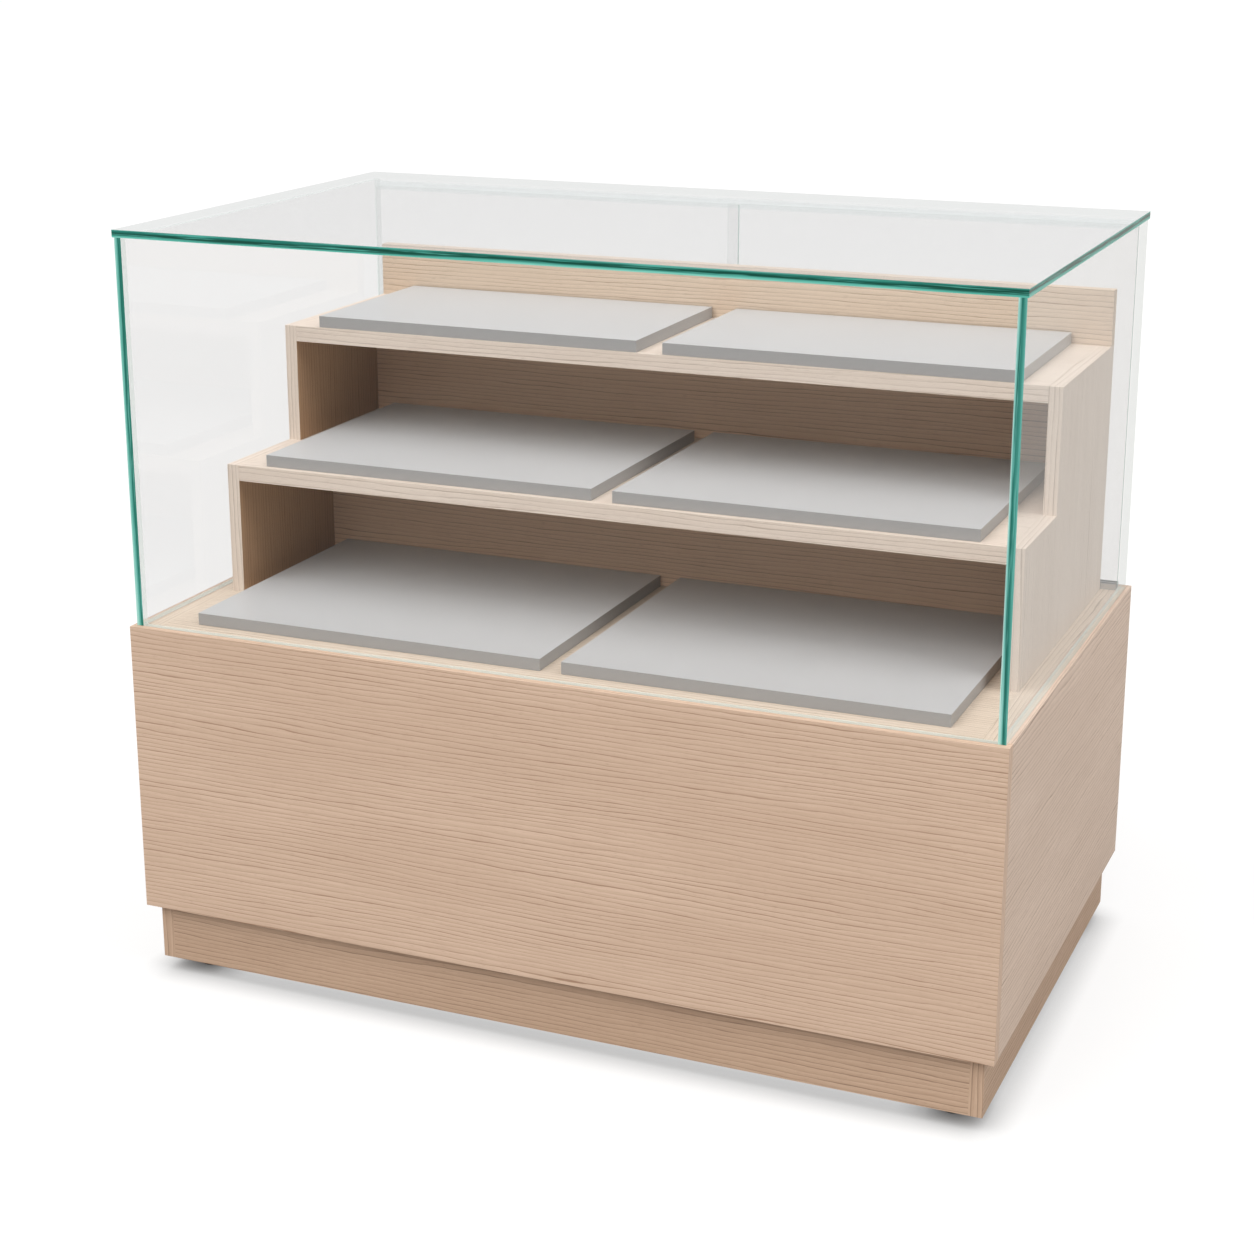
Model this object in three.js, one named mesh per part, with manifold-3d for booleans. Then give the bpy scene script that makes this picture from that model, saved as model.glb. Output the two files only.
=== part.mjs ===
// Bakery display case: an oak-veneered storage cabinet on a recessed plinth, a frameless glass
// box standing on its deck, a stepped three-tier riser inside the box and six lift-out display
// boards. Two glass doors slide across the back of the box, and two hinged doors close the back
// of the cabinet. Millimetres, +Z up, front towards -Y, origin on the floor under the middle.
import * as THREE from "three";
import { mergeVertices } from "three/addons/utils/BufferGeometryUtils.js";
import Module from "manifold-3d";

const wasm = await Module();
wasm.setup();

// ---------------------------------------------------------------- driving dimensions

const WIDTH = 1200; // cabinet, outside
const DEPTH = 712;
const DECK_TOP = 505; // working surface above the floor
const GLASS_TOP = 1036; // upper face of the glass lid
const PLINTH_BOTTOM = 20;
const CABINET_BOTTOM = 100;
const BOARD = 18; // every carcass board
const CLEAR = 0.3; // running gap round a piece that moves, and the bond line under glass
const SEAM = 0.2; // open line between two boards that meet edge to edge

const PLINTH = { sideInset: 15, frontInset: 14, backInset: 10 };
const BLOCK = { size: 60, height: 40, bore: 5.5 }; // corner block that takes a foot
const FOOT = { pad: 16, padHeight: 9, nut: 8, stud: 5, studTop: 56 };

const PANE = { thick: 10, sideInset: 6, frontInset: 9, backInset: 12, overhang: 2 };
const SLIDER = { thick: 5, overlap: 10, endGap: 1, top: 1017 };
const TRACK = { width: 20, wall: 1.5, groove: 7, lowerHeight: 8, upperHeight: 14, web: 2 };
const DISC_PULL = { radius: 18, thick: 4.5, fromEnd: 62, height: 780 };

// Each tier: height above the deck, front of its shelf, face of its back, and its two boards.
const TIERS = [
  { rise: 0, front: BOARD, back: 453, boards: { front: 43, width: 504, depth: 407, gap: 30 } },
  { rise: 183, front: 198, back: 600, boards: { front: 207, width: 489, depth: 372, gap: 30 } },
  { rise: 350, front: 366, back: 660, boards: { front: 369, width: 488, depth: 288, gap: 38 } },
];
const RISER = { halfWidth: 562, side: 18, shelf: 22, rear: 678, upstand: 77 };
const SERVICE_PANEL = { thick: 12, grooveLength: 120, grooveRadius: 11, grooveDepth: 6 };
const DISPLAY_BOARD = 16;

const DOOR = { front: 672, sideGap: 2, centreGap: 3, endGap: 2 };
const HINGE = { knuckles: 9, bottom: 130, top: 472, radius: 3.5, bore: 1.65, pin: 1.5, leaf: 1.5 };
const BAR_PULL = { length: 136, reach: 20, bar: 7, width: 8, fromEdge: 60 };
const CATCH = { length: 44, depth: 14, height: 12, fromMiddle: 30 };
const STORAGE_SHELF = { top: 318, front: BOARD, rear: 640 };

// ---------------------------------------------------------------- worked out from them

const HALF = WIDTH / 2;
const SIDE_INNER = HALF - BOARD;
const DECK_UNDER = DECK_TOP - BOARD;
const FLOOR_TOP = CABINET_BOTTOM + BOARD;
const RISER_INNER = RISER.halfWidth - RISER.side;
const PANE_OUTER = HALF - PANE.sideInset;
const PANE_INNER = PANE_OUTER - PANE.thick;
const PANE_REAR = DEPTH - PANE.backInset;
const LID_UNDER = GLASS_TOP - PANE.thick;
const TRACK_FRONT = PANE_REAR - TRACK.width;
const DOOR_REAR = DOOR.front + BOARD;
const SIDES = { left: -1, right: 1 };

// ---------------------------------------------------------------- materials

function finish(color, roughness, metalness = 0, opacity = 1) {
  const transparent = opacity < 1;
  return new THREE.MeshStandardMaterial({ color, roughness, metalness, opacity, transparent });
}

const OAK = finish(0xcdb49b, 0.6);
const GLASS = finish(0xcfe8e0, 0.05, 0, 0.3);
const LAMINATE = finish(0xc3c2bf, 0.45);
const BLACK_PLASTIC = finish(0x17181a, 0.6);
const ALUMINIUM = finish(0xb8bbbe, 0.35, 1);
const STEEL = finish(0x9fa2a5, 0.3, 1);
const CLEAR_PLASTIC = finish(0xe6eeee, 0.1, 0, 0.4);

// ---------------------------------------------------------------- shape helpers

// Inside this group y is measured back from the cabinet's front face.
const displayCase = new THREE.Group();
displayCase.position.y = -DEPTH / 2;

function place(name, geometry, material) {
  const mesh = new THREE.Mesh(geometry, material);
  mesh.name = name;
  displayCase.add(mesh);
}

// A rectangular block between two opposite corners.
function block(x0, x1, y0, y1, z0, z1) {
  const geometry = new THREE.BoxGeometry(x1 - x0, y1 - y0, z1 - z0);
  return geometry.translate((x0 + x1) / 2, (y0 + y1) / 2, (z0 + z1) / 2);
}

// A block whose x runs from inner to outer on one side of the middle.
function sideBlock(side, inner, outer, y0, y1, z0, z1) {
  const [x0, x1] = side < 0 ? [-outer, -inner] : [inner, outer];
  return block(x0, x1, y0, y1, z0, z1);
}

// An upright cylinder.
function rod(radius, x, y, z0, z1, sides = 20) {
  const geometry = new THREE.CylinderGeometry(radius, radius, z1 - z0, sides);
  return geometry.rotateX(Math.PI / 2).translate(x, y, (z0 + z1) / 2);
}

// A turned piece on an upright axis, from [radius, height] pairs, lowest first.
function turned(profile, sides) {
  const points = profile.map(([radius, height]) => new THREE.Vector2(radius, height));
  return new THREE.LatheGeometry(points, sides).rotateX(Math.PI / 2);
}

function solid(geometry) {
  const bare = new THREE.BufferGeometry();
  bare.setAttribute("position", geometry.getAttribute("position"));
  bare.setIndex(geometry.index);
  const merged = mergeVertices(bare, 1e-4);
  const vertProperties = new Float32Array(merged.getAttribute("position").array);
  const triVerts = new Uint32Array(merged.index.array);
  return new wasm.Manifold(new wasm.Mesh({ numProp: 3, vertProperties, triVerts }));
}

function geometryOf(body) {
  const mesh = body.getMesh();
  const geometry = new THREE.BufferGeometry();
  geometry.setAttribute("position", new THREE.BufferAttribute(mesh.vertProperties, 3));
  geometry.setIndex(new THREE.BufferAttribute(mesh.triVerts, 1));
  geometry.computeVertexNormals();
  return geometry;
}

function joined(pieces) {
  return geometryOf(pieces.map(solid).reduce((sum, piece) => sum.add(piece)));
}

function cut(geometry, tools) {
  return geometryOf(tools.map(solid).reduce((rest, tool) => rest.subtract(tool), solid(geometry)));
}

// ---------------------------------------------------------------- plinth and feet

function addPlinth() {
  const outer = HALF - PLINTH.sideInset;
  const inner = outer - BOARD;
  const front = PLINTH.frontInset;
  const rear = DEPTH - PLINTH.backInset;
  for (const [label, side] of Object.entries(SIDES)) {
    const end = sideBlock(side, inner, outer, front, rear, PLINTH_BOTTOM, CABINET_BOTTOM);
    place(`plinth_${label}`, end, OAK);
  }
  const strips = { front: front, rear: rear - BOARD };
  for (const [label, y] of Object.entries(strips)) {
    const strip = block(-inner, inner, y, y + BOARD, PLINTH_BOTTOM, CABINET_BOTTOM);
    place(`plinth_${label}`, strip, OAK);
  }
  const blockRows = { front: front + BOARD, rear: rear - BOARD - BLOCK.size };
  for (const [row, y] of Object.entries(blockRows)) {
    for (const [label, side] of Object.entries(SIDES)) {
      addFootAndBlock(`${row}_${label}`, side, inner, y);
    }
  }
}

// A corner block bored right through, and the foot whose stud runs up the bore.
function addFootAndBlock(label, side, outer, y) {
  const top = PLINTH_BOTTOM + BLOCK.height;
  const x = side * (outer - BLOCK.size / 2);
  const middle = y + BLOCK.size / 2;
  const body = sideBlock(side, outer - BLOCK.size, outer, y, y + BLOCK.size, PLINTH_BOTTOM, top);
  const bore = rod(BLOCK.bore, x, middle, PLINTH_BOTTOM - 1, top + 1);
  place(`foot_block_${label}`, cut(body, [bore]), OAK);

  const pad = turned(
    [
      [0, 0],
      [FOOT.pad - 1, 0],
      [FOOT.pad, 1],
      [FOOT.pad, 4],
      [FOOT.nut + 2, FOOT.padHeight],
      [0, FOOT.padHeight],
    ],
    32,
  );
  const nut = rod(FOOT.nut, 0, 0, FOOT.padHeight - 1, PLINTH_BOTTOM - CLEAR, 6);
  const stud = rod(FOOT.stud, 0, 0, FOOT.padHeight - 1, FOOT.studTop);
  const foot = joined([pad, nut, stud]).translate(x, middle, 0);
  place(`levelling_foot_${label}`, foot, BLACK_PLASTIC);
}

// ---------------------------------------------------------------- cabinet

function addCabinet() {
  place("front_panel", block(-HALF, HALF, 0, BOARD, CABINET_BOTTOM, DECK_TOP), OAK);
  const floor = block(-SIDE_INNER, SIDE_INNER, BOARD, DEPTH, CABINET_BOTTOM, FLOOR_TOP);
  place("bottom_panel", floor, OAK);
  const deckEdge = RISER.halfWidth;
  place("deck_panel", block(-deckEdge, deckEdge, BOARD, DEPTH, DECK_UNDER, DECK_TOP), OAK);
  const middle = block(-BOARD / 2, BOARD / 2, BOARD, DOOR.front - 1, FLOOR_TOP, DECK_UNDER);
  place("centre_partition", middle, OAK);

  const { top, front, rear } = STORAGE_SHELF;
  for (const [label, side] of Object.entries(SIDES)) {
    const face = BOARD + SEAM;
    const panel = sideBlock(side, SIDE_INNER, HALF, face, DEPTH, CABINET_BOTTOM, DECK_TOP);
    place(`side_panel_${label}`, panel, OAK);
    const stripX = [deckEdge + SEAM, SIDE_INNER];
    const strip = sideBlock(side, ...stripX, BOARD, DEPTH, DECK_UNDER, DECK_TOP);
    place(`deck_strip_${label}`, strip, OAK);
    const cleatZ = [DECK_UNDER - BOARD, DECK_UNDER];
    const cleat = sideBlock(side, SIDE_INNER - 24, SIDE_INNER, BOARD, DOOR.front - 1, ...cleatZ);
    place(`deck_cleat_${label}`, cleat, OAK);
    const shelf = sideBlock(side, BOARD / 2, SIDE_INNER, front, rear, top - BOARD, top);
    place(`storage_shelf_${label}`, shelf, OAK);
  }
}

// Hinged doors let into the back of the cabinet, with a bar pull and a magnetic catch each.
function addStorageDoors() {
  const bottom = FLOOR_TOP + DOOR.endGap;
  const top = DECK_UNDER - DOOR.endGap;
  const meeting = DOOR.centreGap / 2;
  for (const [label, side] of Object.entries(SIDES)) {
    const outer = SIDE_INNER - DOOR.sideGap;
    const leaf = sideBlock(side, meeting, outer, DOOR.front, DOOR_REAR, bottom, top);
    place(`storage_door_${label}`, leaf, OAK);
    place(`storage_pull_${label}`, barPull(side, meeting, top), ALUMINIUM);
    place(`door_catch_${label}`, doorCatch(side), BLACK_PLASTIC);
    addPianoHinge(label, side);
  }
}

// A bent bar: two legs standing off the door and a straight grip between them.
function barPull(side, meeting, doorTop) {
  const { length, reach, bar, width, fromEdge } = BAR_PULL;
  const bend = 5;
  const outline = new THREE.Shape();
  outline.moveTo(0, 0);
  outline.lineTo(0, reach - bend);
  outline.absarc(bend, reach - bend, bend, Math.PI, Math.PI / 2, true);
  outline.lineTo(length - bend, reach);
  outline.absarc(length - bend, reach - bend, bend, Math.PI / 2, 0, true);
  outline.lineTo(length, 0);
  outline.lineTo(length - bar, 0);
  outline.lineTo(length - bar, reach - bar);
  outline.lineTo(bar, reach - bar);
  outline.lineTo(bar, 0);
  outline.closePath();
  const pull = new THREE.ExtrudeGeometry(outline, {
    depth: width,
    bevelEnabled: false,
    curveSegments: 5,
  });
  const inner = side * (meeting + 40);
  const x = side > 0 ? inner : inner - length;
  return pull.translate(x, DOOR_REAR, doorTop - fromEdge);
}

// A magnet housing screwed under the deck, just in front of the closed door.
function doorCatch(side) {
  const { length, depth, height, fromMiddle } = CATCH;
  const rear = DOOR.front - CLEAR;
  const body = [fromMiddle, fromMiddle + length, rear - depth, rear];
  return sideBlock(side, ...body, DECK_UNDER - height, DECK_UNDER);
}

// A continuous hinge: a leaf on the cabinet side, a leaf on the door and one long pin.
function addPianoHinge(label, side) {
  const { knuckles, bottom, top, radius, bore, pin, leaf } = HINGE;
  const axisX = SIDE_INNER - 4;
  const axisY = DOOR_REAR + 4;
  const pitch = (top - bottom) / knuckles;
  const hole = rod(bore, side * axisX, axisY, bottom - 1, top + 1, 16);
  const past = radius + CLEAR; // how far a plate keeps from the other leaf's knuckles

  const leaves = {
    frame: {
      first: 0,
      plate: [SIDE_INNER - leaf, SIDE_INNER, axisY + past, DEPTH - 2],
      tab: [SIDE_INNER - leaf, SIDE_INNER, axisY, axisY + past],
    },
    door: {
      first: 1,
      plate: [axisX - 26, axisX - past, DOOR_REAR, DOOR_REAR + leaf],
      tab: [axisX - past, axisX, DOOR_REAR, DOOR_REAR + leaf],
    },
  };
  for (const [owner, { first, plate, tab }] of Object.entries(leaves)) {
    const pieces = [sideBlock(side, ...plate, bottom, top)];
    for (let i = first; i < knuckles; i += 2) {
      const z0 = bottom + i * pitch + (i ? CLEAR : 0);
      const z1 = bottom + (i + 1) * pitch - (i < knuckles - 1 ? CLEAR : 0);
      pieces.push(rod(radius, side * axisX, axisY, z0, z1, 16));
      pieces.push(sideBlock(side, ...tab, z0, z1));
    }
    place(`hinge_leaf_${owner}_${label}`, cut(joined(pieces), [hole]), STEEL);
  }

  const head = 1.2;
  const profile = [
    [0, bottom - head],
    [pin + 1, bottom - head],
    [pin + 1, bottom],
    [pin, bottom],
    [pin, top],
    [pin + 1, top],
    [pin + 1, top + head],
    [0, top + head],
  ];
  place(`hinge_pin_${label}`, turned(profile, 16).translate(side * axisX, axisY, 0), STEEL);
}

// ---------------------------------------------------------------- glass box

function addGlassBox() {
  const front = PANE.frontInset;
  const paneZ = [DECK_TOP + CLEAR, LID_UNDER - CLEAR];
  for (const [label, side] of Object.entries(SIDES)) {
    const pane = sideBlock(side, PANE_INNER, PANE_OUTER, front, PANE_REAR, ...paneZ);
    place(`glass_${label}`, pane, GLASS);
  }
  const frontX = PANE_INNER - CLEAR;
  const frontPane = block(-frontX, frontX, front, front + PANE.thick, ...paneZ);
  place("glass_front", frontPane, GLASS);
  const lidX = PANE_OUTER + PANE.overhang;
  const lidY = [front - PANE.overhang, PANE_REAR + PANE.overhang];
  place("glass_top", block(-lidX, lidX, ...lidY, LID_UNDER, GLASS_TOP), GLASS);
}

// A channel with two grooves, open towards the glass; z0 is its closed face.
function doubleTrack(closed, open) {
  const length = PANE_INNER - 0.5;
  const z = [Math.min(closed, open), Math.max(closed, open)];
  const body = block(-length, length, TRACK_FRONT, PANE_REAR, ...z);
  const floor = closed + Math.sign(open - closed) * TRACK.web;
  const past = open + Math.sign(open - closed);
  const grooves = [0, 1].map((row) => {
    const y = slideRowFront(row);
    const grooveZ = [Math.min(floor, past), Math.max(floor, past)];
    return block(-length - 1, length + 1, y, y + TRACK.groove, ...grooveZ);
  });
  return cut(body, grooves);
}

// Front face of a groove: row 0 is the inner one.
function slideRowFront(row) {
  const first = TRACK_FRONT + TRACK.wall;
  const second = PANE_REAR - TRACK.wall - TRACK.groove;
  return row ? second : first;
}

// Two sheets that pass each other in the tracks across the back of the glass box.
function addSlidingDoors() {
  const lowerOpen = DECK_TOP + TRACK.lowerHeight;
  place("track_lower", doubleTrack(DECK_TOP, lowerOpen), ALUMINIUM);
  const upperClosed = LID_UNDER - CLEAR;
  const upper = doubleTrack(upperClosed, upperClosed - TRACK.upperHeight);
  place("track_upper", upper, CLEAR_PLASTIC);

  const bottom = DECK_TOP + TRACK.web + CLEAR;
  const outer = PANE_INNER - SLIDER.endGap;
  const rows = Object.entries(SIDES);
  rows.forEach(([label, side], row) => {
    const y = slideRowFront(row) + (TRACK.groove - SLIDER.thick) / 2;
    const rear = y + SLIDER.thick;
    const sheet = sideBlock(side, -SLIDER.overlap, outer, y, rear, bottom, SLIDER.top);
    place(`sliding_glass_${label}`, sheet, GLASS);
    const pull = discPull().translate(side * (outer - DISC_PULL.fromEnd), rear, DISC_PULL.height);
    place(`sliding_pull_${label}`, pull, ALUMINIUM);
  });
}

// A dished disc bonded to the back of a glass sheet, facing the rear.
function discPull() {
  const { radius, thick } = DISC_PULL;
  const disc = turned(
    [
      [0, 0],
      [radius, 0],
      [radius, thick - 0.8],
      [radius - 0.8, thick],
      [radius - 3, thick],
      [radius - 5, 1.6],
      [0, 1.6],
    ],
    32,
  );
  return disc.rotateX(-Math.PI / 2);
}

// ---------------------------------------------------------------- riser and display boards

// One stepped side: each step stands at the front of its shelf.
function riserSide(side) {
  const [, second, third] = TIERS;
  const outline = new THREE.Shape();
  outline.moveTo(second.front, 0);
  outline.lineTo(RISER.rear, 0);
  outline.lineTo(RISER.rear, third.rise);
  outline.lineTo(third.front, third.rise);
  outline.lineTo(third.front, second.rise);
  outline.lineTo(second.front, second.rise);
  outline.closePath();
  const panel = new THREE.ExtrudeGeometry(outline, { depth: RISER.side, bevelEnabled: false });
  // The outline's x becomes y and its y becomes z, so the panel's thickness lies along x.
  panel.rotateX(Math.PI / 2).rotateZ(Math.PI / 2);
  return panel.translate(side > 0 ? RISER_INNER : -RISER.halfWidth, 0, DECK_TOP);
}

// A removable back for a tier, with a finger groove routed in its rear face.
function servicePanel(lower, upper) {
  const { thick, grooveLength, grooveRadius, grooveDepth } = SERVICE_PANEL;
  const bottom = DECK_TOP + lower.rise + CLEAR;
  const top = DECK_TOP + upper.rise - RISER.shelf - 2 * CLEAR;
  const half = RISER_INNER - 0.5;
  const rear = lower.back + thick;
  const panel = block(-half, half, lower.back, rear, bottom, top);

  const reach = grooveLength / 2 - grooveRadius;
  const slot = new THREE.Shape();
  slot.absarc(reach, 0, grooveRadius, -Math.PI / 2, Math.PI / 2, false);
  slot.absarc(-reach, 0, grooveRadius, Math.PI / 2, (3 * Math.PI) / 2, false);
  slot.closePath();
  const depth = grooveDepth + 1;
  const groove = new THREE.ExtrudeGeometry(slot, { depth, bevelEnabled: false, curveSegments: 8 });
  groove.rotateX(Math.PI / 2).translate(0, rear + 1, top - 40);
  return cut(panel, [groove]);
}

function addRiser() {
  const [first, second, third] = TIERS;
  for (const [label, side] of Object.entries(SIDES)) {
    place(`riser_side_${label}`, riserSide(side), OAK);
  }
  const shelves = { shelf_tier_2: [second, second.back + SERVICE_PANEL.thick] };
  shelves.shelf_tier_3 = [third, RISER.rear];
  for (const [name, [tier, rear]] of Object.entries(shelves)) {
    const top = DECK_TOP + tier.rise;
    const end = RISER_INNER - SEAM;
    place(name, block(-end, end, tier.front, rear, top - RISER.shelf, top), OAK);
  }
  place("service_panel_tier_1", servicePanel(first, second), OAK);
  place("service_panel_tier_2", servicePanel(second, third), OAK);

  const foot = DECK_TOP + third.rise;
  const reach = RISER.halfWidth;
  const upstand = block(-reach, reach, third.back, RISER.rear, foot, foot + RISER.upstand);
  place("rear_upstand", upstand, OAK);
}

function addDisplayBoards() {
  TIERS.forEach(({ rise, boards }, index) => {
    const bottom = DECK_TOP + rise + CLEAR;
    const inner = boards.gap / 2;
    for (const [label, side] of Object.entries(SIDES)) {
      const plan = [inner, inner + boards.width, boards.front, boards.front + boards.depth];
      const slab = sideBlock(side, ...plan, bottom, bottom + DISPLAY_BOARD);
      place(`display_board_${index + 1}_${label}`, slab, LAMINATE);
    }
  });
}

addPlinth();
addCabinet();
addStorageDoors();
addGlassBox();
addSlidingDoors();
addRiser();
addDisplayBoards();

export default displayCase;
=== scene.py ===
import math
import random

import bmesh
import bpy
from mathutils import Matrix, Vector


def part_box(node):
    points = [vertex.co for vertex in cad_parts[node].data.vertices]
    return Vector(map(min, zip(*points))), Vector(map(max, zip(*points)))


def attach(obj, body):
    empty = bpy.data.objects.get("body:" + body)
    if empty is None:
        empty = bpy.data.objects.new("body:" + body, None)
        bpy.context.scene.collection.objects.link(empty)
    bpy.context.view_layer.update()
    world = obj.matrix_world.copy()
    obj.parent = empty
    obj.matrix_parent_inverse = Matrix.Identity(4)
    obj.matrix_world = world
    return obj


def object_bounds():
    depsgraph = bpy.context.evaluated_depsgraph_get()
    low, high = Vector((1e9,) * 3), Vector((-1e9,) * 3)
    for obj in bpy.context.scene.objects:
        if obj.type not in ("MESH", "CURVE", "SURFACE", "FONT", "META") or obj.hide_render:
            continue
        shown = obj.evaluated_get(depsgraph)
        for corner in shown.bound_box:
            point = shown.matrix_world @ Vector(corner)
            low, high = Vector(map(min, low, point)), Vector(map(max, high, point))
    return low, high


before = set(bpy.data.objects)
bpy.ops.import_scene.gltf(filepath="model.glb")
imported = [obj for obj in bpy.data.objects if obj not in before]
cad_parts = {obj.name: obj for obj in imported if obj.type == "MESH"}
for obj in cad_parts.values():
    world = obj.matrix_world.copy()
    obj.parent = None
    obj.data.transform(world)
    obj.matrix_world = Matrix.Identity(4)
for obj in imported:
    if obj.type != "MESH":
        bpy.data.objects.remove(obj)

# Looks of a bakery display case: pale oak veneer, float glass with green edges, and grey display
# boards. The frame brings every structural piece. This script gives each one its finish, rounds its
# edges, and adds the small hardware that the frame leaves plain.

CAD_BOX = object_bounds()
AXES = "xyz"
MM = 0.001


def srgb(red, green, blue):
    """A colour given as 0 to 255 screen values, as the linear colour that Blender works in."""

    def linear(value):
        value /= 255
        return value / 12.92 if value <= 0.04045 else ((value + 0.055) / 1.055) ** 2.4

    return (linear(red), linear(green), linear(blue), 1.0)


# ---------------------------------------------------------------- material nodes

# How deep each finish's bump goes.
BUMP = {
    "oak": 0.04 * MM,
    "glass edge": 0.05 * MM,
    "laminate": 0.012 * MM,
    "moulded plastic": 0.03 * MM,
    "brushed metal": 0.01 * MM,
    "clear plastic": 0.02 * MM,
}

NOISE_RANGE = (0.3, 0.7)
ALONG_AXIS = (0.75, 0.85)
ARRIS = (0.99, 0.93)  # a face counts as a bevel from how far it turns away from every axis


class Nodes:
    """The nodes of one material, or of the world. Each call adds a node and gives back the output
    that the next one reads."""

    def __init__(self, name, owners=bpy.data.materials):
        self.owner = owners.new(name)
        self.owner.use_nodes = True
        self.tree = self.owner.node_tree
        self.tree.nodes.clear()

    def add(self, kind, feeds=(), output=0, **settings):
        node = self.tree.nodes.new("ShaderNode" + kind)
        for setting, value in settings.items():
            setattr(node, setting, value)
        for socket, value in dict(feeds).items():
            if isinstance(value, bpy.types.NodeSocket):
                self.tree.links.new(value, node.inputs[socket])
            else:
                node.inputs[socket].default_value = value
        return node.outputs[output]

    def math(self, operation, first, second=0.0):
        return self.add("Math", {0: first, 1: second}, operation=operation)

    # A Mix node's sockets share their names, so mix and blend give them by number.

    def mix(self, share, first, second):
        """first where share is 0 and second where it is 1, for numbers."""
        return self.add("Mix", {"Factor": share, 2: first, 3: second}, data_type="FLOAT")

    def blend(self, share, first, second, mode="MIX"):
        """first where share is 0 and second where it is 1, for colours."""
        feeds = {"Factor": share, 6: first, 7: second}
        return self.add("Mix", feeds, output=2, data_type="RGBA", blend_type=mode)

    def spread(self, value, low, high, to_low=0.0, to_high=1.0):
        """A number taken from low..high to to_low..to_high, held between them, with soft ends."""
        feeds = {"Value": value, 1: low, 2: high, 3: to_low, 4: to_high}
        return self.add("MapRange", feeds, interpolation_type="SMOOTHSTEP")

    def sway(self, noise, low, high):
        """The range that noise mostly keeps to, taken to low..high."""
        return self.spread(noise, *NOISE_RANGE, low, high)

    def along(self, facing):
        """1 on faces that point along an axis and 0 on the others, from how they face it."""
        return self.spread(facing, *ALONG_AXIS)

    def noise(self, vector, scale, detail=2.0, roughness=0.5):
        """Noise whose scale is features a metre along each of the vector's axes."""
        stretched = self.add("VectorMath", {0: vector, 1: scale}, operation="MULTIPLY")
        feeds = {"Vector": stretched, "Scale": 1.0, "Detail": detail, "Roughness": roughness}
        return self.add("TexNoise", feeds)

    def place(self):
        """Where the point is on the piece, as x, y and z in metres."""
        return self.add("TexCoord", output="Object")

    def facing(self):
        """How squarely the face turns to x, y and z, from 0 to 1 each."""
        feeds = {"Vector": self.add("NewGeometry", output="True Normal")}
        space = {"vector_type": "NORMAL", "convert_from": "WORLD", "convert_to": "OBJECT"}
        turned = self.add("VectorTransform", feeds, **space)
        return self.add("VectorMath", {0: turned}, operation="ABSOLUTE")

    def split(self, vector):
        """The x, y and z outputs of a vector."""
        node = self.add("SeparateXYZ", {0: vector}).node
        return dict(zip(AXES, node.outputs))

    def join(self, x, y, z):
        return self.add("CombineXYZ", {0: x, 1: y, 2: z})

    def arris(self, facing):
        """1 on a bevelled edge, and 0 on the flat faces."""
        largest = self.math("MAXIMUM", facing["x"], self.math("MAXIMUM", facing["y"], facing["z"]))
        return self.spread(largest, *ARRIS)

    def ramp(self, value, stops):
        """A colour for value, from (position, colour) stops."""
        output = self.add("ValToRGB", {0: value})
        elements = output.node.color_ramp.elements
        while len(elements) < len(stops):
            elements.new(0.5)
        for element, (position, colour) in zip(elements, stops):
            element.position = position
            element.color = colour
        return output

    def bump(self, height, depth):
        """A normal that raises white parts of height by depth metres."""
        return self.add("Bump", {"Height": height, "Distance": depth, "Strength": 1.0})

    def principled(self, **feeds):
        """The main shader. A name's underscores stand for the spaces in the socket's name."""
        return self.add("BsdfPrincipled", {k.replace("_", " "): v for k, v in feeds.items()})

    def finish(self, surface, kind="Material"):
        output = self.tree.nodes.new("ShaderNodeOutput" + kind)
        self.tree.links.new(surface, output.inputs["Surface"])
        return self.owner


# ---------------------------------------------------------------- oak veneer

# Light wood, darker wood, grain line, and an edge colour that is wear and a painted highlight along
# the arris. The cabinet is a pinker cut than the riser.
OAK_TONES = {
    "cabinet": (srgb(214, 187, 165), srgb(189, 160, 137), srgb(134, 96, 70), srgb(230, 212, 196)),
    "side": (srgb(219, 197, 180), srgb(195, 172, 154), srgb(136, 106, 88), srgb(232, 218, 206)),
    # plinth: a darker copy of the cabinet oak, painted shade under the cabinet's overhang.
    "plinth": (srgb(199, 170, 146), srgb(174, 144, 120), srgb(112, 84, 65), srgb(214, 192, 173)),
    "riser": (srgb(236, 215, 193), srgb(215, 192, 168), srgb(150, 122, 98), srgb(242, 227, 210)),
    # recess: a brighter, redder copy of the riser oak, painted warm light inside the recess.
    "recess": (srgb(252, 218, 188), srgb(236, 196, 164), srgb(158, 118, 90), srgb(250, 228, 206)),
    "riser side": (
        srgb(240, 226, 212), srgb(225, 208, 193), srgb(162, 139, 118), srgb(244, 232, 219),
    ),
    "deck": (srgb(233, 217, 199), srgb(215, 197, 177), srgb(148, 122, 98), srgb(246, 238, 228)),
}
RING_PITCH = 6.5 * MM
# Features a metre along the grain, across it, and through the board.
OAK_NOISE = {
    "drift": (1.3, 17, 3),
    "waver": (13, 110, 3),
    "presence": (4.5, 160, 3),
    "fibre": (26, 900, 40),
    "patch": (2.4, 11, 3),
    "pore": (85, 1500, 60),
}
RING_DRIFT = 4.2  # how many rings the slow wander and the quick waver move a line by
RING_WAVER = 0.7
INNER_PAINTED_SHADE = srgb(218, 186, 152)  # painted shade: what the riser's inner side faces, inside the recess, multiply the wood by


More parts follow.
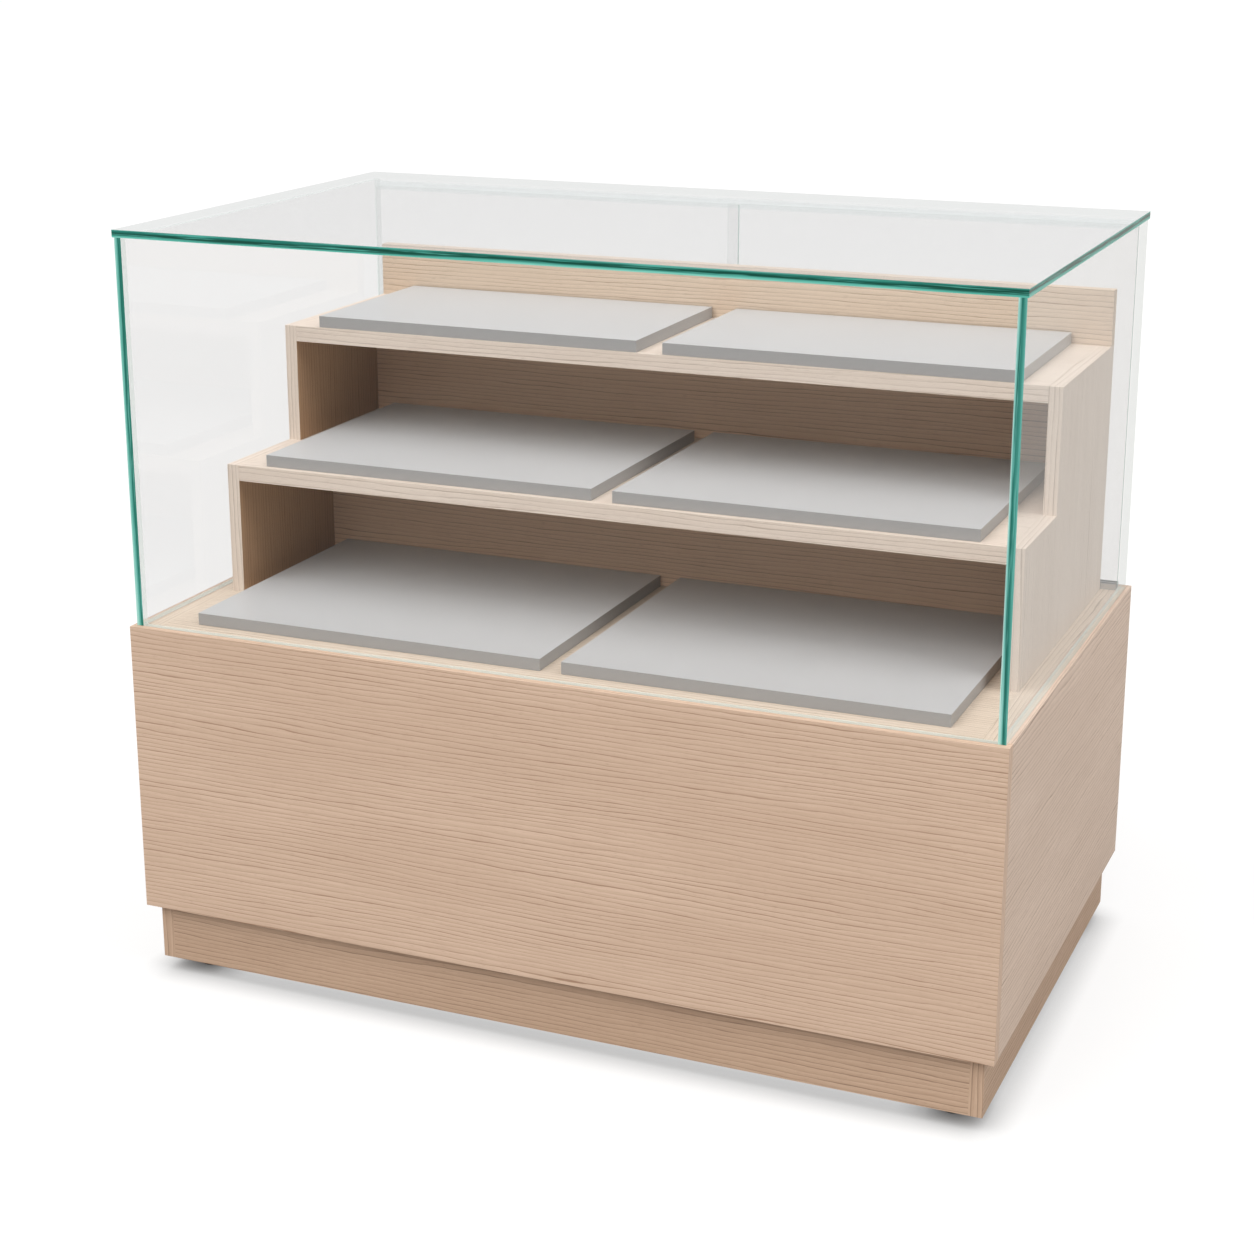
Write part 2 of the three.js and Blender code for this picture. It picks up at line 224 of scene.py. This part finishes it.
def oak(name, grain, across, tone, seed, painted_shade_within=0.0):
    """Veneer whose grain runs along the axis grain. across is the board's other wide axis. An end
    face gets its lipping's grain along its own length, so the pattern follows every face. Wide
    faces that are nearer than painted_shade_within to the case's middle are multiplied darker:
    painted shade for the inside of the recess."""
    n = Nodes(name)
    light, middle, dark, edge = OAK_TONES[tone]
    place, facing = n.split(n.place()), n.split(n.facing())
    thick = next(axis for axis in AXES if axis not in (grain, across))
    on_end = n.along(facing[grain])
    on_face = n.spread(facing[thick], 0.6, 0.7)
    draw = random.Random(seed)
    along = n.math("ADD", n.mix(on_end, place[grain], place[across]), draw.uniform(0, 40))
    over = n.math("ADD", n.mix(on_face, place[thick], place[across]), draw.uniform(0, 40))
    depth = n.math("ADD", n.mix(on_end, place[thick], place[grain]), draw.uniform(0, 9))
    flat = n.join(along, over, depth)

    # Growth rings: a fine line at the end of each, wandering a little and fading in and out.
    drift = n.math("MULTIPLY", n.noise(flat, OAK_NOISE["drift"]), RING_DRIFT)
    waver = n.math("MULTIPLY", n.noise(flat, OAK_NOISE["waver"]), RING_WAVER)
    ring = n.math("ADD", n.math("DIVIDE", over, RING_PITCH), n.math("ADD", drift, waver))
    ring = n.math("FRACT", ring)
    line = n.math("MULTIPLY", n.spread(ring, 0.22, 0.07), n.spread(ring, 0.0, 0.05))
    slope = n.spread(ring, 0.9, 0.2)
    presence = n.spread(n.noise(flat, OAK_NOISE["presence"]), 0.32, 0.68, 0.2, 1.0)
    line = n.math("MULTIPLY", line, presence)

    fibre = n.noise(flat, OAK_NOISE["fibre"], detail=3.0, roughness=0.6)
    patch = n.noise(flat, OAK_NOISE["patch"])
    pore = n.spread(n.noise(flat, OAK_NOISE["pore"]), 0.6, 0.74)

    base = n.blend(n.math("MULTIPLY", slope, 0.5), light, middle)
    base = n.blend(n.sway(fibre, 0.0, 0.45), base, middle)
    base = n.blend(n.sway(patch, 0.0, 0.35), base, middle)
    base = n.blend(n.math("MULTIPLY", line, 0.72), base, dark)
    base = n.blend(n.math("MULTIPLY", pore, 0.35), base, dark)
    arris = n.arris(facing)
    # The lighter edge colour on the bevelled arris is wear and a painted highlight.
    wear_and_highlight = n.math("MULTIPLY", arris, n.spread(fibre, 0.25, 0.75, 0.3, 0.7))
    base = n.blend(wear_and_highlight, base, edge)
    # Painted shade: wide faces near the case's middle, which are the riser sides' inner faces in
    # the recess, are multiplied darker and browner.
    if painted_shade_within:
        from_middle = n.math("ABSOLUTE", place["x"])
        inner = n.math("LESS_THAN", from_middle, painted_shade_within)
        base = n.blend(n.math("MULTIPLY", inner, on_face), base, INNER_PAINTED_SHADE, mode="MULTIPLY")

    rough = n.math("ADD", n.spread(fibre, 0.25, 0.75, 0.46, 0.56), n.math("MULTIPLY", line, 0.1))
    rough = n.math("SUBTRACT", rough, n.math("MULTIPLY", arris, 0.1))
    height = n.math("SUBTRACT", n.math("MULTIPLY", fibre, 0.3), n.math("ADD", line, pore))
    return n.finish(
        n.principled(
            Base_Color=base, Roughness=rough, Normal=n.bump(height, BUMP["oak"]), IOR=1.45
        )
    )


# ---------------------------------------------------------------- glass

# The colours across each pane's cut edges, from the low side of its thickness to the high side. The
# green is the glass's own; the light and dark bands, and their differences from pane to pane, are
# painted light and reflection.
EDGE_COLOURS = {
    "glass_top": (
        (0.0, (132, 208, 194)), (0.18, (84, 178, 162)), (0.4, (22, 82, 68)), (0.66, (18, 74, 62)),
        (0.84, (38, 126, 112)), (1.0, (104, 178, 166)),
    ),
    "glass_left": (
        (0.0, (176, 224, 214)), (0.28, (112, 188, 176)), (0.48, (70, 150, 136)),
        (0.6, (34, 110, 96)), (1.0, (44, 124, 108)),
    ),
    "glass_right": (
        (0.0, (186, 228, 220)), (0.26, (104, 180, 170)), (0.4, (28, 94, 82)),
        (0.54, (40, 116, 104)), (0.8, (72, 152, 140)), (1.0, (120, 190, 180)),
    ),
    "glass_front": ((0.0, (110, 184, 172)), (0.5, (34, 106, 94)), (1.0, (110, 184, 172))),
    "sliding_glass": ((0.0, (206, 232, 226)), (0.5, (168, 212, 202)), (1.0, (206, 232, 226))),
}
# The axes that each pane's bonded edges face.
BONDED = {"glass_front": "xz", "glass_left": "z", "glass_right": "z", "sliding_glass": "z"}
# A pale mint for the light seen along an edge where it meets the deck or another pane: painted
# light.
BOND_PAINTED_LIGHT = srgb(226, 243, 236)
BOND_SHARE = 0.45  # how much of a bonded edge is mint, painted light along the joint; the rest is clear
# Near white arris: partly the frosted look of a seamed arris, partly a painted highlight.
GLASS_ARRIS_AND_HIGHLIGHT = srgb(244, 251, 249)
GLASS_TINT = srgb(249, 249, 249)
EDGE_FROM_INSIDE = srgb(242, 245, 244)
ARRIS_FROM_INSIDE = srgb(118, 132, 129)


def glass(name, box, bonded, colours, arris_tint):
    """Float glass. Its two faces are clear and a little grey, its cut edges are green, dark in the
    middle of the thickness and lighter towards the polished arrises. The green is the glass's own,
    and the light and dark bands across it are painted light and reflection; the near white arrises
    are partly a painted highlight. From inside the pane an edge is only a pale tint, because the
    light behind comes through it. An edge bonded to the deck or to another pane is partly clear and
    partly mint, and the mint is painted light along the joint. bonded names the axes that such
    edges face."""
    n = Nodes(name)
    place, facing = n.split(n.place()), n.split(n.facing())
    low, high = box
    size = high - low
    thin = min(range(3), key=lambda axis: size[axis])
    first, second = (axis for axis in range(3) if axis != thin)
    thin_name, first_name, second_name = (AXES[axis] for axis in (thin, first, second))
    from_face = n.math("SUBTRACT", place[thin_name], low[thin])
    over = n.math("DIVIDE", from_face, size[thin])
    on_first = n.along(facing[first_name])
    along = n.mix(on_first, place[first_name], place[second_name])
    flat = n.join(along, over, on_first)

    stops = [(position, srgb(*colour)) for position, colour in colours]
    streak = n.noise(flat, (9, 4, 1), detail=3.0, roughness=0.6)
    band = n.math("ADD", over, n.spread(n.noise(flat, (2.6, 1.2, 1)), 0.25, 0.75, -0.16, 0.16))
    # Painted light and reflection: the ramp's light and dark bands across the thickness.
    green = n.ramp(band, stops)
    green = n.blend(n.spread(streak, 0.5, 0.66, 0.0, 0.8), green, stops[1][1])
    edge = n.principled(
        Base_Color=green,
        Roughness=n.sway(streak, 0.05, 0.12),
        Normal=n.bump(streak, BUMP["glass edge"]),
        IOR=1.25,
    )
    # The arris shader's near white colour is partly a painted highlight.
    arris = n.principled(Base_Color=GLASS_ARRIS_AND_HIGHLIGHT, Roughness=0.18, IOR=1.4)

    inside = n.add("NewGeometry", output="Backfacing")
    outside = n.math("SUBTRACT", 1.0, inside)
    clear = n.add("BsdfTransparent", {"Color": GLASS_TINT})
    gloss = n.add("BsdfGlossy", {"Color": (1, 1, 1, 1), "Roughness": 0.02})
    fresnel = n.math("MULTIPLY", n.add("Fresnel", {"IOR": 1.36}), outside)
    face = n.add("MixShader", {0: fresnel, 1: clear, 2: gloss})

    on_arris = n.arris(facing)
    tint = n.blend(on_arris, EDGE_FROM_INSIDE, arris_tint)
    from_inside = n.add("BsdfTransparent", {"Color": tint})
    rim = n.add("MixShader", {0: on_arris, 1: edge, 2: arris})
    rim = n.add("MixShader", {0: inside, 1: rim, 2: from_inside})
    # Painted light: a pale mint surface along the bonded edges.
    bond_painted_light = n.principled(Base_Color=BOND_PAINTED_LIGHT, Roughness=0.3, IOR=1.4)
    bond_painted_light = n.add("MixShader", {0: BOND_SHARE, 1: n.add("BsdfTransparent"), 2: bond_painted_light})
    for axis in bonded:
        rim = n.add("MixShader", {0: n.along(facing[axis]), 1: rim, 2: bond_painted_light})
    on_rim = n.spread(facing[thin_name], 0.95, 0.9)
    return n.finish(n.add("MixShader", {0: on_rim, 1: face, 2: rim}))


# ---------------------------------------------------------------- boards, plastic and metal

LAMINATE = srgb(198, 198, 198)
LAMINATE_SHADE = srgb(166, 166, 166)
LAMINATE_PAINTED_SIDE_SHADE = srgb(170, 169, 168)
LAMINATE_PAINTED_HIGHLIGHT = srgb(252, 252, 252)


def laminate(name, seed):
    """Satin grey laminate with a very fine pebble, darker sides that are painted shade, and a
    painted highlight line along each edge."""
    n = Nodes(name)
    place, facing = n.place(), n.split(n.facing())
    shift = random.Random(seed).uniform(0, 20)
    moved = n.add("VectorMath", {0: place, 1: (shift, shift, shift)}, operation="ADD")
    pebble = n.noise(moved, (1400, 1400, 1400), detail=2.0)
    cloud = n.noise(moved, (9, 9, 9), detail=3.0)
    tone = n.sway(n.mix(0.4, cloud, pebble), 0.0, 0.1)
    colour = n.blend(tone, LAMINATE, LAMINATE_SHADE)
    # Painted shade: the faces that don't look up are darker.
    colour = n.blend(n.spread(facing["z"], 0.5, 0.3), colour, LAMINATE_PAINTED_SIDE_SHADE)
    arris = n.arris(facing)
    # Painted highlight: a near white line along each bevelled edge.
    colour = n.blend(n.math("MULTIPLY", arris, 0.85), colour, LAMINATE_PAINTED_HIGHLIGHT)
    rough = n.mix(arris, n.sway(pebble, 0.34, 0.46), 0.22)
    normal = n.bump(pebble, BUMP["laminate"])
    return n.finish(n.principled(Base_Color=colour, Roughness=rough, Normal=normal, IOR=1.38))


def moulded_plastic(name, colour):
    """Spark-eroded mould texture, paler where the edges have rubbed."""
    n = Nodes(name)
    place, facing = n.place(), n.split(n.facing())
    grain = n.noise(place, (1100, 1100, 1100), detail=3.0)
    smear = n.noise(place, (60, 60, 60), detail=2.0)
    paler = tuple(min(1.0, 2.2 * value + 0.01) for value in colour[:3]) + (1.0,)
    base = n.blend(n.sway(smear, 0.0, 0.35), colour, paler)
    base = n.blend(n.math("MULTIPLY", n.arris(facing), 0.5), base, paler)
    rough = n.sway(smear, 0.48, 0.62)
    normal = n.bump(grain, BUMP["moulded plastic"])
    return n.finish(n.principled(Base_Color=base, Roughness=rough, Normal=normal, IOR=1.49))


BRUSH_LINES = {"along": 18.0, "across": 1800.0}  # features a metre


def brushed_metal(name, colour, along, roughness=0.3):
    """Metal with brush lines along one axis, brighter on its rubbed edges."""
    n = Nodes(name)
    place, facing = n.place(), n.split(n.facing())
    scale = [BRUSH_LINES["across"]] * 3
    scale[AXES.index(along)] = BRUSH_LINES["along"]
    brush = n.noise(place, scale, detail=3.0, roughness=0.6)
    smear = n.noise(place, (35, 35, 35), detail=2.0)
    darker = tuple(0.72 * value for value in colour[:3]) + (1.0,)
    brighter = tuple(min(1.0, 1.25 * value) for value in colour[:3]) + (1.0,)
    base = n.blend(n.sway(brush, 0.0, 0.6), colour, darker)
    base = n.blend(n.math("MULTIPLY", n.arris(facing), 0.6), base, brighter)
    rough = n.math("ADD", n.sway(brush, -0.05, 0.07), roughness)
    rough = n.math("ADD", rough, n.sway(smear, -0.03, 0.05))
    normal = n.bump(brush, BUMP["brushed metal"])
    return n.finish(
        n.principled(Base_Color=base, Roughness=rough, Normal=normal, Metallic=1.0)
    )


def clear_plastic(name):
    """Extruded clear plastic: see-through, with faint die lines along its length."""
    n = Nodes(name)
    lines = n.noise(n.place(), (3, 700, 700), detail=2.0)
    haze = n.principled(
        Base_Color=srgb(238, 242, 242),
        Roughness=n.sway(lines, 0.16, 0.3),
        Normal=n.bump(lines, BUMP["clear plastic"]),
        IOR=1.49,
    )
    clear = n.add("BsdfTransparent", {"Color": srgb(253, 254, 254)})
    share = n.spread(lines, 0.3, 0.75, 0.02, 0.06)
    return n.finish(n.add("MixShader", {0: share, 1: clear, 2: haze}))


# ---------------------------------------------------------------- finishes of the frame's pieces

BLACK = srgb(26, 27, 29)
ALUMINIUM = srgb(206, 208, 211)
STEEL = srgb(176, 178, 182)
STEEL_ROUGHNESS = 0.26

# Each oak piece's grain axis and its other wide axis, by the start of its name.
OAK_GRAIN = {
    "front_panel": "xz",
    "side_panel": "yz",
    "bottom_panel": "xy",
    "deck_panel": "xy",
    "deck_strip": "yx",
    "deck_cleat": "yx",
    "centre_partition": "yz",
    "storage_shelf": "xy",
    "storage_door": "xz",
    "plinth_front": "xz",
    "plinth_rear": "xz",
    "plinth_left": "yz",
    "plinth_right": "yz",
    "foot_block": "xy",
    "riser_side": "zy",
    "shelf_tier": "xy",
    "service_panel": "xz",
    "rear_upstand": "xz",
}
# The tone of each oak piece that isn't "cabinet".
OTHER_TONES = {
    "side_panel": "side",
    "plinth": "plinth",
    "riser_side": "riser side",
    "shelf_tier": "riser side",
    "service_panel": "recess",
    "rear_upstand": "riser",
    "deck": "deck",
}
BEVEL = {
    "oak": 0.7 * MM,
    "glass": 1.1 * MM,
    "thin glass": 0.5 * MM,
    "laminate": 1.2 * MM,
    "small": 0.3 * MM,
}
BEVEL_SEGMENTS = 2
SHARP_ANGLE = math.radians(40)  # edges that turn further than this are rounded


def finish_of(node):
    """The material for a frame piece, and the width of its edge rounding."""
    seed = sum(ord(letter) * (place + 1) for place, letter in enumerate(node))
    grain = next((axes for start, axes in OAK_GRAIN.items() if node.startswith(start)), None)
    if grain:
        tones = (tone for start, tone in OTHER_TONES.items() if node.startswith(start))
        tone = next(tones, "cabinet")
        low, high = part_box(node)
        # The riser sides get painted shade on their inner faces, inside the recess.
        middle = abs(low.x + high.x) / 2 if tone == "riser side" else 0.0
        return oak("oak_" + node, *grain, tone, seed, middle), BEVEL["oak"]
    if "glass" in node:
        thin = node.startswith("sliding")
        pane = "sliding_glass" if thin else node
        tint = EDGE_FROM_INSIDE if thin else ARRIS_FROM_INSIDE
        bonded, colours = BONDED.get(pane, ""), EDGE_COLOURS[pane]
        finish = glass("glass_" + node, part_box(node), bonded, colours, tint)
        return finish, BEVEL["thin glass" if thin else "glass"]
    if node.startswith("display_board"):
        return laminate("laminate_" + node, seed), BEVEL["laminate"]
    if node == "track_upper":
        return clear_plastic("clear_track"), BEVEL["small"]
    if node == "track_lower" or "pull" in node:
        return brushed_metal("aluminium_" + node, ALUMINIUM, "x"), BEVEL["small"]
    if node.startswith("hinge"):
        return brushed_metal("steel_" + node, STEEL, "z", STEEL_ROUGHNESS), 0.0
    return moulded_plastic("plastic_" + node, BLACK), BEVEL["small"]


def round_edges(obj, width):
    """Rounds the piece's sharp edges, and shades the wide faces flat and the narrow ones smooth."""
    bevel = obj.modifiers.new("edges", "BEVEL")
    bevel.width = width
    bevel.segments = BEVEL_SEGMENTS
    bevel.limit_method = "ANGLE"
    bevel.angle_limit = SHARP_ANGLE
    bevel.harden_normals = False
    weighted = obj.modifiers.new("shading", "WEIGHTED_NORMAL")
    weighted.keep_sharp = False


for node_name, node_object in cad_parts.items():
    material, rounding = finish_of(node_name)
    node_object.data.materials.clear()
    node_object.data.materials.append(material)
    if rounding:
        round_edges(node_object, rounding)


# ---------------------------------------------------------------- small hardware

# Turned outlines from the seat outwards: radius, how far a star socket's lobes wave it, and height.
HINGE_SCREW = ((3.2, 0, 0), (3.1, 0, 0.1), (2.6, 0, 0.25), (1.3, 0.22, 0.25), (1.1, 0.2, 0.02))
PLATE_SCREW = ((1.7, 0, 0), (1.6, 0, 0.08), (0.9, 0.15, 0.08), (0.8, 0.14, -0.5))
SHELF_PIN = ((4.4, 0, 0), (4.4, 0, 1.0), (3.8, 0, 1.4), (2.5, 0, 1.5), (2.5, 0, 8.2), (1.8, 0, 9.0))
TURNED_SIDES = 24
SOCKET_LOBES = 6


def add_turned(build, outline, seat, outward):
    """Adds a turned piece that stands on the point seat and points outward."""
    turn = Vector(outward).to_track_quat("Z", "Y")
    rings = []
    for radius, lobe, height in outline:
        ring = []
        for step in range(TURNED_SIDES):
            angle = math.tau * step / TURNED_SIDES
            reach = radius + lobe * math.cos(SOCKET_LOBES * angle)
            point = Vector((reach * math.cos(angle), reach * math.sin(angle), height)) * MM
            ring.append(build.verts.new(Vector(seat) + turn @ point))
        rings.append(ring)
    for lower, upper in zip(rings, rings[1:]):
        for step in range(TURNED_SIDES):
            after = (step + 1) % TURNED_SIDES
            build.faces.new((lower[step], lower[after], upper[after], upper[step]))
    build.faces.new(reversed(rings[0]))
    build.faces.new(rings[-1])


def add_plate(build, middle, size, corner):
    """Adds a flat plate, thin along y, whose corners are rounded."""
    half_width, half_thick, half_height = (length / 2 for length in size)
    outline = []
    for quarter, (x_way, z_way) in enumerate(((1, 1), (-1, 1), (-1, -1), (1, -1))):
        for step in range(CORNER_SEGMENTS + 1):
            angle = math.pi / 2 * (quarter + step / CORNER_SEGMENTS)
            x = x_way * (half_width - corner) + corner * math.cos(angle)
            z = z_way * (half_height - corner) + corner * math.sin(angle)
            outline.append((x, z))
    near, far = (
        [build.verts.new(middle + Vector((x, y, z))) for x, z in outline]
        for y in (-half_thick, half_thick)
    )
    for step in range(len(outline)):
        after = (step + 1) % len(outline)
        build.faces.new((near[step], far[step], far[after], near[after]))
    build.faces.new(near)
    build.faces.new(reversed(far))


def new_piece(name, build, body, material):
    """Makes the built mesh a steel piece that rides on the body."""
    mesh = bpy.data.meshes.new(name)
    build.to_mesh(mesh)
    build.free()
    piece = bpy.data.objects.new(name, mesh)
    bpy.context.scene.collection.objects.link(piece)
    mesh.materials.append(material)
    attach(piece, body)


# reach is from the pin's middle; further out, a door leaf's screws would meet the frame leaf.
HINGE_SCREWS = {"count": 6, "from_end": 22 * MM, "reach": 10 * MM}
LEAF_THICKNESS = 1.5 * MM
STRIKE = {
    "length": 36 * MM,
    "height": 9 * MM,
    "thick": 1.2 * MM,
    "proud": 0.1 * MM,
    "corner": 2 * MM,
    "screw spacing": 24 * MM,
}
CORNER_SEGMENTS = 5
SHELF_PIN_INSET = 45 * MM


def add_hinge_screws(side, label, material):
    """A row of nearly flush screws along each leaf of a storage door's hinge."""
    leaf_low, leaf_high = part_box("hinge_leaf_frame_" + label)
    pin_low, pin_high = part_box("hinge_pin_" + label)
    pin = (pin_low + pin_high) / 2
    frame_x = side * (max(abs(leaf_low.x), abs(leaf_high.x)) - LEAF_THICKNESS)
    door_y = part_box("hinge_leaf_door_" + label)[0].y + LEAF_THICKNESS
    first, last = leaf_low.z + HINGE_SCREWS["from_end"], leaf_high.z - HINGE_SCREWS["from_end"]
    step = (last - first) / (HINGE_SCREWS["count"] - 1)
    reach = HINGE_SCREWS["reach"]
    on_frame, on_door = bmesh.new(), bmesh.new()
    for index in range(HINGE_SCREWS["count"]):
        z = first + index * step
        add_turned(on_frame, HINGE_SCREW, (frame_x, pin.y + reach, z), (-side, 0, 0))
        add_turned(on_door, HINGE_SCREW, (pin.x - side * reach, door_y, z), (0, 1, 0))
    new_piece("hinge_screws_frame_" + label, on_frame, "case", material)
    new_piece("hinge_screws_door_" + label, on_door, "door_" + label, material)


def add_strike(label, material):
    """The plate on a storage door that its magnetic catch holds."""
    catch_low, catch_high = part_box("door_catch_" + label)
    inner_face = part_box("storage_door_" + label)[0].y
    middle = (catch_low + catch_high) / 2
    middle.y = inner_face + STRIKE["thick"] / 2 - STRIKE["proud"]
    build = bmesh.new()
    size = (STRIKE["length"], STRIKE["thick"], STRIKE["height"])
    add_plate(build, middle, size, STRIKE["corner"])
    for way in (-1, 1):
        x = middle.x + way * STRIKE["screw spacing"] / 2
        seat = (x, inner_face - STRIKE["proud"], middle.z)
        add_turned(build, PLATE_SCREW, seat, (0, -1, 0))
    new_piece("catch_strike_" + label, build, "door_" + label, material)


def add_shelf_pins(label, material):
    """Four pins that carry a storage shelf, two at each end."""
    low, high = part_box("storage_shelf_" + label)
    build = bmesh.new()
    pin_radius = SHELF_PIN[-2][0] * MM
    for x, outward in ((low.x, 1), (high.x, -1)):
        for y in (low.y + SHELF_PIN_INSET, high.y - SHELF_PIN_INSET):
            add_turned(build, SHELF_PIN, (x, y, low.z - pin_radius), (outward, 0, 0))
    new_piece("shelf_pins_" + label, build, "case", material)


screw_steel = brushed_metal("steel_fixings", STEEL, "z", STEEL_ROUGHNESS)
for hinge_side, door_label in ((-1, "left"), (1, "right")):
    add_hinge_screws(hinge_side, door_label, screw_steel)
    add_strike(door_label, screw_steel)
    add_shelf_pins(door_label, screw_steel)


# ---------------------------------------------------------------- floor, light and camera

CAMERA_AIM = Vector((-0.0275, 0.0017, 0.0426))  # from the middle of the case
CAMERA_DISTANCE = 3.2259
CAMERA_AZIMUTH = math.radians(22.81)
CAMERA_HEIGHT_ANGLE = math.radians(16.10)
CAMERA_LENS = 67.21  # mm, on a sensor that is SENSOR_WIDTH wide
SENSOR_WIDTH = 36
CAMERA_SHIFT = -0.05  # the lens is shifted down a little, so that upright edges lean less
# How bright the white surround is, and how closely its light gathers overhead.
DOME = {"seen": 1.02, "mirrored": 0.72, "horizon": 0.0, "zenith": 1.85, "focus": 3.0}
# Soft lights: azimuth (0 is the front, 90 the right), height, both in degrees, and strength.
SOFTBOXES = {
    "left": (-45, 45, 1.4),
    "front": (0, 38, 1.15),
    "right": (90, 40, 1.45),
    "back": (180, 25, 0.5),
}
NOT_MIRRORED = ("back",)  # softboxes that glass and gloss don't show
SOFTBOX_ANGLE = 45
# The floor glows a little where it is seen, which keeps its shadow light, but not in the contact
# shadow within reach of the case.
FLOOR = {
    "seen": srgb(131, 130, 129),
    "glow": 0.73,
    "bounced": srgb(170, 168, 165),
    "reach": 0.045,
    "radius": 14.0,
    "sides": 96,
}


def add_floor():
    mesh = bpy.data.meshes.new("studio_floor")
    build = bmesh.new()
    outline = {"segments": FLOOR["sides"], "radius": FLOOR["radius"]}
    bmesh.ops.create_circle(build, cap_ends=True, **outline)
    build.to_mesh(mesh)
    build.free()
    floor = bpy.data.objects.new("studio_floor", mesh)
    bpy.context.scene.collection.objects.link(floor)
    n = Nodes("floor_paper")
    from_camera = n.add("LightPath", output="Is Camera Ray")
    colour = n.blend(from_camera, FLOOR["bounced"], FLOOR["seen"])
    openness = n.add("AmbientOcclusion", {"Distance": FLOOR["reach"]}, output="AO")
    glow = n.math("MULTIPLY", n.math("MULTIPLY", openness, FLOOR["glow"]), from_camera)
    lit = n.add("BsdfDiffuse", {"Color": colour})
    surface = n.add("AddShader", {0: lit, 1: n.add("Emission", {"Strength": glow})})
    mesh.materials.append(n.finish(surface))


def add_world():
    """A white surround, brighter overhead for the light it gives, and even where it is seen."""
    n = Nodes("studio", bpy.data.worlds)
    up = n.math("MAXIMUM", n.split(n.add("TexCoord", output="Generated"))["z"], 0.0)
    strength = n.mix(n.math("POWER", up, DOME["focus"]), DOME["horizon"], DOME["zenith"])
    strength = n.mix(n.add("LightPath", output="Is Glossy Ray"), strength, DOME["mirrored"])
    strength = n.mix(n.add("LightPath", output="Is Camera Ray"), strength, DOME["seen"])
    background = n.add("Background", {"Color": (1, 1, 1, 1), "Strength": strength})
    bpy.context.scene.world = n.finish(background, "World")


def add_sun(name, azimuth, height, angle, strength):
    """A soft distant light. Azimuth 0 shines from the front, and a positive one from the right."""
    light = bpy.data.lights.new(name, "SUN")
    light.angle = math.radians(angle)
    light.energy = strength
    sun = bpy.data.objects.new(name, light)
    bpy.context.scene.collection.objects.link(sun)
    turn = Matrix.Rotation(math.radians(azimuth), 4, "Z")
    tilt = Matrix.Rotation(math.radians(90 - height), 4, "X")
    sun.matrix_world = turn @ tilt
    sun.visible_glossy = name not in NOT_MIRRORED


def add_camera():
    data = bpy.data.cameras.new("camera")
    data.lens = CAMERA_LENS
    data.sensor_width = SENSOR_WIDTH
    data.shift_y = CAMERA_SHIFT
    camera = bpy.data.objects.new("camera", data)
    bpy.context.scene.collection.objects.link(camera)
    low, high = CAD_BOX
    aim = (low + high) / 2 + CAMERA_AIM
    turn = Matrix.Rotation(CAMERA_AZIMUTH, 4, "Z")
    tilt = Matrix.Rotation(math.pi / 2 - CAMERA_HEIGHT_ANGLE, 4, "X")
    back = Matrix.Translation((0, 0, CAMERA_DISTANCE))
    camera.matrix_world = Matrix.Translation(aim) @ turn @ tilt @ back
    bpy.context.scene.camera = camera


add_floor()
add_world()
for softbox, (azimuth, height, strength) in SOFTBOXES.items():
    add_sun(softbox, azimuth, height, SOFTBOX_ANGLE, strength)
add_camera()

scene = bpy.context.scene
scene.view_settings.view_transform = "Standard"
scene.cycles.transparent_max_bounces = 32  # a look along the case crosses many panes and boards
scene.cycles.diffuse_bounces = 2
